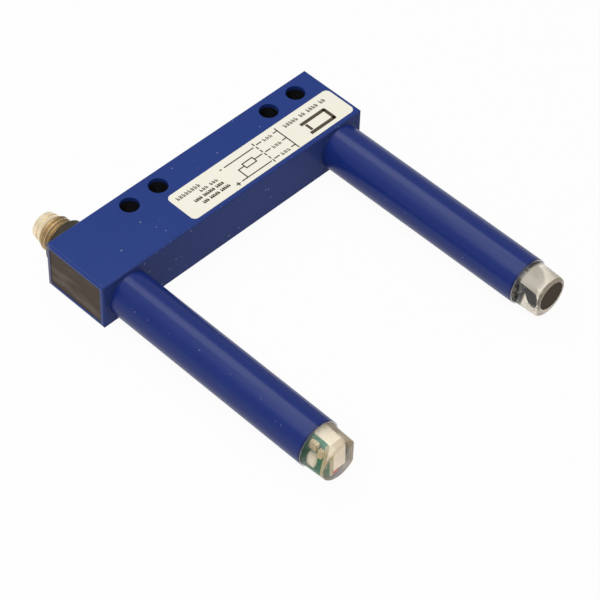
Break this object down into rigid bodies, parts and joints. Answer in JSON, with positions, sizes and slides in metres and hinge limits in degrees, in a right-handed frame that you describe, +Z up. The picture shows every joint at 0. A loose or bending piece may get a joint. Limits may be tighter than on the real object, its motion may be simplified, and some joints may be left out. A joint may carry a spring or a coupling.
{
  "type": "fork sensor",
  "caption": "Fork light barrier: a slim blue bar with tubular arms that end in clear heads, screw holes through the bar and a small round plug connector on its back.",
  "frame": {"origin": "middle of the bar's underside, which is the mounting face", "axes": "+X along the bar towards the emitter arm, -Y along the arms towards their heads, +Z up"},
  "size_m": [0.074, 0.0861, 0.0121],
  "materials": {
    "blue_paint": "semi-gloss paint",
    "casting_resin": "matte, slightly smeared",
    "label_paper": "satin print film",
    "clear_plastic": "clear, polished",
    "green_board": "solder resist",
    "pale_case": "matte moulding",
    "red_lamp": "tinted lens",
    "tan_ceramic": "matte",
    "dark_plug": "matte",
    "dark_lens": "polished dark lens",
    "chip_black": "matte moulding",
    "can_metal": "bright can",
    "black_moulding": "fine moulded grain",
    "sleeve_brass": "turned and plated",
    "pin_plating": "plated",
    "red_wire": "satin insulation",
    "white_wire": "satin insulation",
    "black_wire": "satin insulation",
    "brown_wire": "satin insulation",
    "blue_wire": "satin insulation"
  },
  "bodies": {
    "root": {"housing": "blue_paint", "receiver_arm": "blue_paint", "emitter_arm": "blue_paint", "receiver_arm_bead": "blue_paint", "emitter_arm_bead": "blue_paint", "casting_resin": "casting_resin", "label": "label_paper", "receiver_head": "clear_plastic", "emitter_head": "clear_plastic", "receiver_board": "green_board", "emitter_board": "green_board", "main_board": "green_board", "light_receiver": "pale_case", "receiver_amplifier": "pale_case", "status_lamp": "red_lamp", "receiver_capacitor": "tan_ceramic", "filter_capacitor": "tan_ceramic", "emitter_plug": "dark_plug", "infrared_diode": "dark_lens", "signal_chip": "chip_black", "voltage_regulator": "chip_black", "output_transistor": "chip_black", "protection_diode": "chip_black", "chip_resistors": "chip_black", "supply_capacitor": "can_metal", "connector_body": "black_moulding", "insulating_core": "black_moulding", "connector_sleeve": "sleeve_brass", "supply_pin": "pin_plating", "ground_pin": "pin_plating", "output_pin": "pin_plating", "receiver_supply_wire": "red_wire", "emitter_anode_wire": "red_wire", "receiver_signal_wire": "white_wire", "receiver_ground_wire": "black_wire", "emitter_cathode_wire": "black_wire", "output_wire": "black_wire", "supply_wire": "brown_wire", "ground_wire": "blue_wire"}
  },
  "joints": []
}
